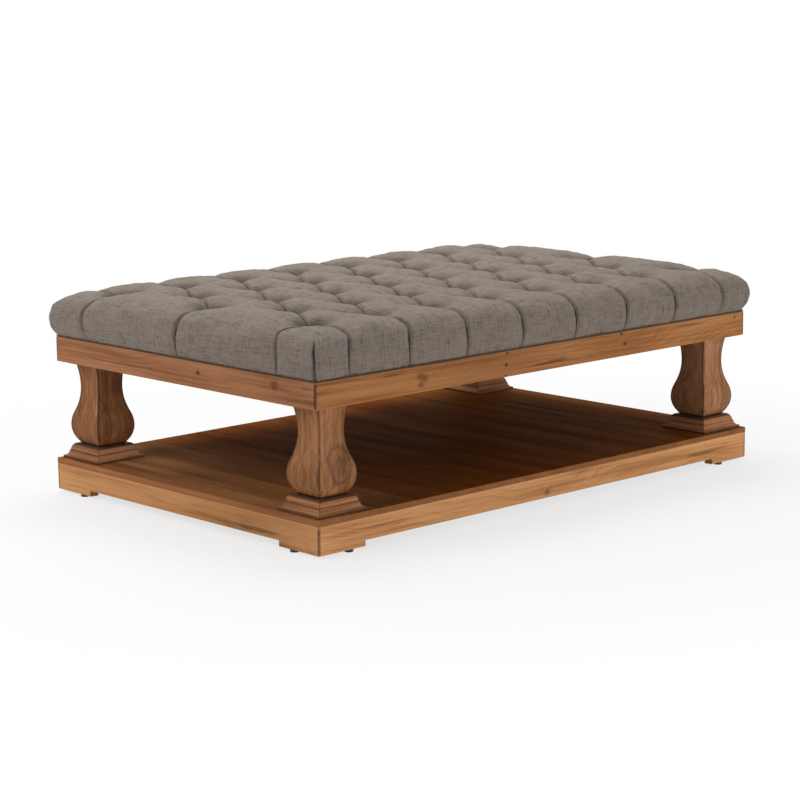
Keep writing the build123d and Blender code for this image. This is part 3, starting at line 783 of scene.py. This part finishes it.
def pleat_cloth(mesh):
    """Press pleats, gathers and corner folds into the fine mesh, and give the cloth's paint its painted shade
    in the folds, pleats, button pits and seam, and its map."""
    points = read_points(mesh)
    normals = read_normals(mesh)
    flat = read_vectors(mesh.attributes["flat"].data, "vector")[:, :2]
    flat_x, flat_y = flat.T
    _, far, button = tufting(flat_x, flat_y)
    inner = points[:, 2] < apron_top + 0.0045
    side = rise(crown - points[:, 2], 0.020, 0.045)
    low = rise(points[:, 2] - apron_top, 0.006, 0.045)
    press = np.where(side > 0.5, 0.35 + 0.65 * low, 1)
    lip = fade(far - 0.0055, 0.0045) - 0.5 * fade(far + 0.0050, 0.0050)
    shift = 0.0016 * lip * press - 0.0042 * fade(far, 0.0024, 1.3) * press
    shift += 0.0007 * fade(button - 0.024, 0.012) * sway(flat_x, flat_y, 0.016, 9)
    shift += 0.0006 * sway(flat_x, flat_y, 0.035, 5) + 0.0009 * sway(flat_x, flat_y, 0.08, 6)
    shift[inner] = 0

    # The crease at each upright corner, pressed in and also painted as shade
    cloth_x, cloth_y, _, _ = build_cloth_grid()
    corner_far = np.hypot(
        np.maximum(cloth_x[-1] - np.abs(flat_x), 0), np.maximum(cloth_y[-1] - np.abs(flat_y), 0)
    )
    seam_part = rise(crown - points[:, 2], 0.018, 0.026) * (~inner)
    fold_line = fade(corner_far, 0.0034, 1.4) * seam_part * (0.45 + 0.55 * low)
    shift -= fold_line * 0.0055
    points = points + normals * shift[:, None]

    # Pleats that don't run quite straight
    on_top = rise(points[:, 2] - apron_top, 0.03, 0.05) * rise(button, 0.012, 0.03)
    for axis, seed in ((0, 11), (1, 12)):
        points[:, axis] += 0.0016 * sway(flat_x, flat_y, 0.12, seed) * on_top
    write_points(mesh, points)

    # Painted shade: how dark each fold, pleat wall, button pit, corner crease and the seam is painted, and
    # where the painted crease lines reach
    reach = np.where(side > 0.5, 0.45 + 0.55 * low, 0.35 + 0.65 * fade(button, 0.055))
    sharp_shade = 0.7 * fade(far, 0.0024, 1.2) * reach
    # Painted shade spreading a little way up the walls beside each pleat
    wide = np.where(side > 0.5, 0.24, 0.80) * fade(far, 0.0052, 1.6) * reach
    pit_shade = 0.82 * fade(button, 0.042, 3.2) * (side < 0.3)
    fold_shade = np.maximum.reduce([sharp_shade, wide, pit_shade, fold_line]) * (~inner)
    button_shade = fade(button - 0.0125, 0.0035) * (side < 0.3)
    seam_shade = 0.95 * fall(points[:, 2] - apron_top, 0.0044, 0.0012)
    fold_shade = np.maximum.reduce([fold_shade, button_shade, seam_shade])
    for name, values in (("fold_shade", fold_shade), ("reach", reach * (~inner))):
        layer = mesh.attributes.new(name, "FLOAT", "POINT")
        layer.data.foreach_set("value", np.clip(values, 0, 1).astype(np.float32))
    corner = np.zeros(len(mesh.loops), np.int32)
    mesh.loops.foreach_get("vertex_index", corner)
    mesh.uv_layers.new(name="cloth").data.foreach_set("uv", flat[corner].astype(np.float32).ravel())
    mesh.attributes.remove(mesh.attributes["flat"])


def build_cushion():
    """The tufted cover: laid, blown out between buttons and pleats, made finer, pleated, and closed."""
    piece, held = lay_cloth()
    print("cloth moved by up to", swell(piece, held, pressure=4.0, growth=0.006, most=0.004))
    subdivision = piece.modifiers.new("finer", "SUBSURF")
    subdivision.levels = subdivision.render_levels = 1
    mesh = baked(piece)
    pleat_cloth(mesh)
    form = bmesh.new()
    form.from_mesh(mesh)
    bmesh.ops.holes_fill(form, edges=[e for e in form.edges if e.is_boundary], sides=0)
    form.to_mesh(mesh)
    form.free()
    mesh.shade_smooth()
    return piece


def button_places():
    places = []
    for row in range(row_count):
        count = long_row_count - row % 2
        y = row_pitch * row - tuft_y
        places += [(tuft_pitch * (k - (count - 1) / 2), y) for k in range(count)]
    return places


def tube_faces(start, levels, around):
    """Quads between rings of points, from the point numbered start."""
    faces = []
    for j in range(levels - 1):
        for k in range(around):
            a = start + j * around + k
            b = start + j * around + (k + 1) % around
            faces.append((a, b, b + around, a + around))
    return faces


def turned_rings(rings, around, places):
    """Rings of points round each place, joined into closed forms. Each ring gives radius and height."""
    points = []
    faces = []
    for number, (px, py) in enumerate(places):
        start = len(points)
        for j, (radius, height) in enumerate(rings):
            for k in range(around):
                angle = math.tau * k / around
                pucker = 1 + 0.035 * math.sin(angle * 9 + number) * (0.2 < j / len(rings) < 0.75)
                r = radius * pucker
                points.append((px + r * math.cos(angle), py + r * math.sin(angle), height))
        faces += tube_faces(start, len(rings), around)
        low = len(points)
        points.append((px, py, rings[0][1]))
        points.append((px, py, rings[-1][1]))
        top = start + (len(rings) - 1) * around
        for k in range(around):
            faces.append((start + (k + 1) % around, start + k, low))
            faces.append((top + k, top + (k + 1) % around, low + 1))
    return points, faces


def build_buttons():
    """Covered buttons, puckered at the rim."""
    rings = [
        (0.0070, 0.4182),
        (0.0098, 0.4186),
        (0.0109, 0.4205),
        (0.0108, 0.4222),
        (0.0100, 0.4240),
        (0.0082, 0.4254),
        (0.0058, 0.4264),
        (0.0030, 0.4269),
        (0.0010, 0.4270),
    ]
    points, faces = turned_rings(rings, 28, button_places())
    return mesh_object("covered_buttons", points, faces)


def build_ties():
    """Two-strand twine through foam and deck, with a knot under each washer."""
    bottom, top = 0.3462, 0.4180
    strand_radius = 0.00052
    twist_radius = 0.00045
    turns = 5
    around = 8
    levels = 26
    knot_rings = [(0.0012, 0.3452), (0.0021, 0.3454), (0.0024, 0.3457), (0.0022, 0.3460), (0.0012, 0.3462)]
    points = []
    faces = []
    for px, py in button_places():
        for strand in range(2):
            faces += tube_faces(len(points), levels, around)
            for j in range(levels):
                share = j / (levels - 1)
                turn = math.tau * turns * share + math.pi * strand
                cx = px + twist_radius * math.cos(turn)
                cy = py + twist_radius * math.sin(turn)
                z = bottom + (top - bottom) * share
                for k in range(around):
                    angle = math.tau * k / around
                    x = cx + strand_radius * math.cos(angle)
                    y = cy + strand_radius * math.sin(angle)
                    points.append((x, y, z))
    knots, knot_faces = turned_rings(knot_rings, 12, button_places())
    start = len(points)
    points += knots
    faces += [tuple(i + start for i in face) for face in knot_faces]
    return mesh_object("button_twine", points, faces)


def build_foam():
    """The foam block under the soft layer, its long edges eased by wear."""
    low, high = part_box("foam_pad")
    gap = 0.0004
    columns = np.linspace(low.x + gap, high.x - gap, 60)
    rows = np.linspace(low.y + gap, high.y - gap, 40)
    grid_x, grid_y = np.meshgrid(columns, rows, indexing="ij")
    edge = np.minimum(grid_x - low.x, high.x - grid_x)
    edge = np.minimum(edge, np.minimum(grid_y - low.y, high.y - grid_y))
    top = high.z - 0.0012 - 0.004 * np.exp(-edge / 0.006) + 0.0006 * sway(grid_x, grid_y, 0.2, 21)
    bottom = np.full_like(top, low.z + 0.0002)
    points = np.concatenate([np.stack([grid_x, grid_y, z], -1).reshape(-1, 3) for z in (top, bottom)])
    index = np.arange(len(columns) * len(rows)).reshape(len(columns), len(rows))
    quads = grid_quads(index)
    ring = grid_ring(index)
    half = index.size
    faces = np.concatenate([quads, quads[:, ::-1] + half, band(ring, ring + half)[:, ::-1]])
    return mesh_object("foam_block", points, faces)


def build_dust_cover():
    """Black cloth stapled tight under the deck."""
    low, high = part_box("dust_cover")
    columns = np.linspace(low.x, high.x, 120)
    rows = np.linspace(low.y, high.y, 76)
    grid_x, grid_y = np.meshgrid(columns, rows, indexing="ij")
    middle = (low.z + high.z) / 2
    grid_z = middle + 0.00025 * sway(grid_x, grid_y, 0.14, 31)
    points = np.stack([grid_x, grid_y, grid_z], -1).reshape(-1, 3)
    index = np.arange(grid_x.size).reshape(grid_x.shape)
    return mesh_object("dust_sheet", points, grid_quads(index)[:, [0, 3, 2, 1]])


# Stage
aim_camera()
world = bpy.data.worlds.new("studio")
bpy.context.scene.world = world
world.use_nodes = True
t = Tree(world.node_tree)
rays = t.add("LightPath")
seen = t.math("MAXIMUM", rays.outputs["Is Camera Ray"], rays.outputs["Is Transmission Ray"])
seen = t.math("MAXIMUM", seen, rays.outputs["Is Glossy Ray"])
sky = t.add("Background")
t.put(sky.inputs["Color"], (1, 1, 1, 1))
t.put(sky.inputs["Strength"], t.math("MULTIPLY_ADD", seen, 0.73, 0.27))
t.put(t.add("OutputWorld").inputs["Surface"], sky.outputs[0])

soft_lamp("overhead", place=(0.5, 0.7, 2.8), aim=(0, 0, 0.3), size=(2.2, 2.0), power=60)
soft_lamp("left_fill", place=(-2.6, 0.9, 1.9), aim=(-0.4, 0.1, 0.2), size=(1.6, 1.4), power=31)
soft_lamp("front_fill", place=(0.9, -4.0, 0.62), aim=(0, 0, 0.2), size=(3.2, 1.0), power=45)

floor_half = 9
floor_points = [(floor_half * x, floor_half * y, 0) for x, y in ((-1, -1), (1, -1), (1, 1), (-1, 1))]
floor = mesh_object("floor", floor_points, [(0, 1, 2, 3)], smooth=False)
floor_paint, t = new_material("floor_paint")
rays = t.add("LightPath")
seen = t.math("MAXIMUM", rays.outputs["Is Camera Ray"], rays.outputs["Is Glossy Ray"])
speck = t.noise(t.place(), 220.0, 2.0)
pale = t.ramp(speck, [(0.3, grey(0.90)), (0.7, grey(0.94))])
dull = t.ramp(speck, [(0.3, grey(0.80)), (0.7, grey(0.84))])
paint = finish_surface(t, t.mix(seen, dull, pale), 0.9)
paper = t.add("Emission")
paper.inputs["Color"].default_value = (1, 1, 1, 1)
far_off = t.steps(t.vector("LENGTH", t.place()), 0.8, 1.6, 0.72, 1.0)
blend = t.add("MixShader")
t.put(blend.inputs[0], t.math("MULTIPLY", seen, far_off))
t.put(blend.inputs[1], paint.outputs[0])
t.put(blend.inputs[2], paper.outputs[0])
t.put(t.tree.nodes["Material Output"].inputs["Surface"], blend.outputs[0])
floor.data.materials.append(floor_paint)

# Cloth pieces
cover_cloth = linen("linen_cover", True)
button_cloth = linen("linen_button", False)
cushion = build_cushion()
cushion.data.materials.append(cover_cloth)
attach(cushion, "root")
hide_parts("tufted_cushion")

buttons = build_buttons()
buttons.data.materials.append(button_cloth)
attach(buttons, "root")
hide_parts("tuft_buttons")

foam_paint, t = new_material("foam_paint")
cells = t.noise(t.place(), 700.0, 3.0, 0.7)
finish_surface(
    t, t.ramp(cells, [(0.3, (0.52, 0.44, 0.24)), (0.7, (0.74, 0.66, 0.42))]), 0.95, t.bump(cells, 0.6, 0.0008)
)
foam = build_foam()
foam.data.materials.append(foam_paint)
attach(foam, "root")
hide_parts("foam_pad")

twine_paint, t = new_material("twine_paint")
fibre = t.noise(t.place(), 1400.0, 2.0)
finish_surface(t, t.ramp(fibre, [(0.3, (0.40, 0.32, 0.20)), (0.7, (0.66, 0.57, 0.42))]), 0.9)
twine = build_ties()
twine.data.materials.append(twine_paint)
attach(twine, "root")
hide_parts("button_ties")

dust_paint, t = new_material("dust_paint")
fibre = t.noise(t.vector("MULTIPLY", t.place(), (900, 260, 900)), 1.0, 2.0)
finish_surface(t, t.ramp(fibre, [(0.3, (0.012, 0.012, 0.013)), (0.7, (0.035, 0.035, 0.038))]), 0.85)
dust = build_dust_cover()
dust.data.materials.append(dust_paint)
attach(dust, "root")
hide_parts("dust_cover")

# Wood pieces, each palette from dark to light
honey = ((0.150, 0.046, 0.010), (0.395, 0.155, 0.044), (0.540, 0.250, 0.086))
amber = ((0.215, 0.076, 0.021), (0.600, 0.272, 0.097), (0.760, 0.405, 0.172))
russet = ((0.130, 0.042, 0.013), (0.365, 0.147, 0.060), (0.500, 0.232, 0.104))
chestnut = ((0.100, 0.037, 0.013), (0.390, 0.162, 0.062), (0.620, 0.302, 0.142))
rosewood = ((0.090, 0.032, 0.013), (0.375, 0.160, 0.070), (0.580, 0.295, 0.145))
walnut = ((0.080, 0.028, 0.009), (0.300, 0.119, 0.038), (0.500, 0.240, 0.100))
gold = ((0.245, 0.088, 0.026), (0.700, 0.325, 0.122), (0.850, 0.475, 0.215))

coat("apron_front", wood("apron_front_wood", 1, honey, "x", "y",
     knots=[(-0.3690, 0.3215, 0.0072), (-0.3605, 0.3165, 0.0080), (-0.3675, 0.3060, 0.0058),
            (-0.127, 0.3160, 0.0038), (-0.124, 0.3390, 0.0030), (-0.128, 0.2925, 0.0032),
            (0.240, 0.3170, 0.0040), (0.228, 0.3400, 0.0032), (0.614, 0.3340, 0.0025)],
     marks=[(0.004, 0.3045, 0.068, 0.0026, 0.75), (0.028, 0.3088, 0.040, 0.0015, 0.6),
            (-0.443, 0.3350, 0.036, 0.0022, 0.55), (0.457, 0.3335, 0.056, 0.0020, 0.6)],
     stains_and_painted_light=[(-0.20, 0.26, (0.80, 0.74, 0.72)), (0.48, 0.24, (1.08, 1.10, 1.14))]))
coat("apron_left", wood("apron_left_wood", 2, russet, "y", "x",
     knots=[(-0.068, 0.3224, 0.0048), (-0.3076, 0.3260, 0.0085)],
     marks=[(-0.405, 0.3300, 0.020, 0.0050, 0.35)]))
coat("apron_back", wood("apron_back_wood", 3, honey, "x", "y", knots=[(0.30, 0.318, 0.007)]))
coat("apron_right", wood("apron_right_wood", 4, russet, "y", "x", knots=[(-0.12, 0.312, 0.006)]))
leg_knots = {"leg_front_left": [(0.170, -0.5694, 0.0235), (0.167, -0.5685, 0.0115)]}
leg_marks = {"leg_front_right": [(0.233, 0.551, 0.012, 0.0022, 0.7), (0.175, 0.548, 0.030, 0.0013, 0.55),
                                 (0.150, 0.557, 0.024, 0.0010, 0.45)]}
# Legs and their bases get painted contact shade at the heights where they meet
leg_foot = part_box("leg_base_front_left")[1].z
for seed, name in enumerate(("leg_front_left", "leg_front_right", "leg_back_left", "leg_back_right"), 5):
    tones = rosewood if name == "leg_front_right" else walnut
    coat(name, wood(name + "_wood", seed, tones, "z", "y", knots=leg_knots.get(name, ()),
         marks=leg_marks.get(name, ()), joints=[leg_foot], vein=1.15, edge_radius=0.009, rub_and_highlight=0))
for seed, corner in enumerate(("front_left", "front_right", "back_left", "back_right"), 9):
    name = "leg_base_" + corner
    coat(name, wood(name + "_wood", seed, chestnut, "x", "z", edge=0.75, edge_radius=0.0045, rub_and_highlight=0, vein=1.2,
         mitred=True, joints=[end.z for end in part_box(name)]))
coat("skirt_front", wood("skirt_front_wood", 13, gold, "x", "y", knots=[(-0.0134, 0.031, 0.006)],
     marks=[(-0.47, 0.0425, 0.076, 0.0020, 0.4), (0.50, 0.037, 0.068, 0.0032, 0.6)], vein=0.85,
     stains_and_painted_light=[(0.38, 0.34, (1.13, 1.18, 1.20))]))
coat("skirt_left", wood("skirt_left_wood", 14, amber, "y", "x",
     marks=[(-0.248, 0.030, 0.080, 0.0050, 0.5)], vein=0.85, stains_and_painted_light=[(-0.22, 0.26, (0.78, 0.77, 0.75))]))
coat("skirt_back", wood("skirt_back_wood", 15, amber, "x", "y"))
coat("skirt_right", wood("skirt_right_wood", 16, amber, "y", "x"))
# Shelf boards: their tops take a painted shade tint, darkest on the middle boards and lighter towards the
# ends as painted light; boards 2 and 3 also get painted light and shade patches along the grain
shelf_painted_light_and_shade = {1: (0.95, 0.94, 0.80), 2: (0.92, 0.90, 0.72), 3: (0.60, 0.55, 0.38), 4: (0.50, 0.37, 0.14),
               11: (0.53, 0.37, 0.09), 12: (0.56, 0.42, 0.12), 13: (0.62, 0.49, 0.20), 14: (0.74, 0.62, 0.36)}
shelf_painted_shade = (0.51, 0.325, 0.066)
shelf_painted_light_and_shade_patches = [(0.30, 0.24, (1.22, 1.42, 1.75)), (0.02, 0.20, (0.86, 0.88, 0.95))]
for number in range(1, 15):
    name = f"shelf_board_{number:02d}"
    coat(name, wood(name + "_wood", 16 + number, russet, "y", "z", rough=0.7, gloss=0.02, edge=0.3,
         edge_radius=0.003, vein=0.65, stains_and_painted_light=shelf_painted_light_and_shade_patches if number in (2, 3) else (),
         painted_top_shade=shelf_painted_light_and_shade.get(number, shelf_painted_shade)))
raw = ((0.30, 0.17, 0.075), (0.52, 0.34, 0.18), (0.66, 0.47, 0.28))
raw_kinds = ("top_block", "cross_rail", "plinth_block", "shelf_bearer")
for seed, name in enumerate([name for name in nodes if name.startswith(raw_kinds)], 31):
    along = "y" if name.startswith("cross_rail") else "x"
    coat(name, wood(name + "_wood", seed, raw, along, "z", edge=0.1, rough=0.7))
coat("seat_deck", wood("deck_ply", 45, raw, "x", "z", edge=0.1, rough=0.75, ring=0.03))

# Metal and plastic
steel, t = new_material("zinc_steel")
cloud = t.noise(t.place(), 260.0, 3.0)
steel_colour = t.ramp(cloud, [(0.3, (0.40, 0.41, 0.42)), (0.7, (0.62, 0.63, 0.64))])
finish_surface(t, steel_colour, t.steps(cloud, 0.3, 0.7, 0.32, 0.5), t.bump(cloud, 0.1, 0.0002), Metallic=1.0)
for name in ("leg_rods", "rod_nuts", "rod_washers", "threaded_inserts", "tie_washers",
             "apron_screws", "deck_screws", "skirt_screws", "shelf_screws"):
    coat(name, steel)
plastic, t = new_material("glide_plastic")
scuff = t.noise(t.place(), 420.0, 3.0, 0.6)
plastic_colour = t.ramp(scuff, [(0.35, (0.012, 0.008, 0.006)), (0.8, (0.040, 0.028, 0.020))])
finish_surface(t, plastic_colour, t.steps(scuff, 0.3, 0.7, 0.38, 0.6), t.bump(scuff, 0.15, 0.0002))
coat("foot_glides", plastic)

bpy.context.scene.view_settings.view_transform = "Standard"
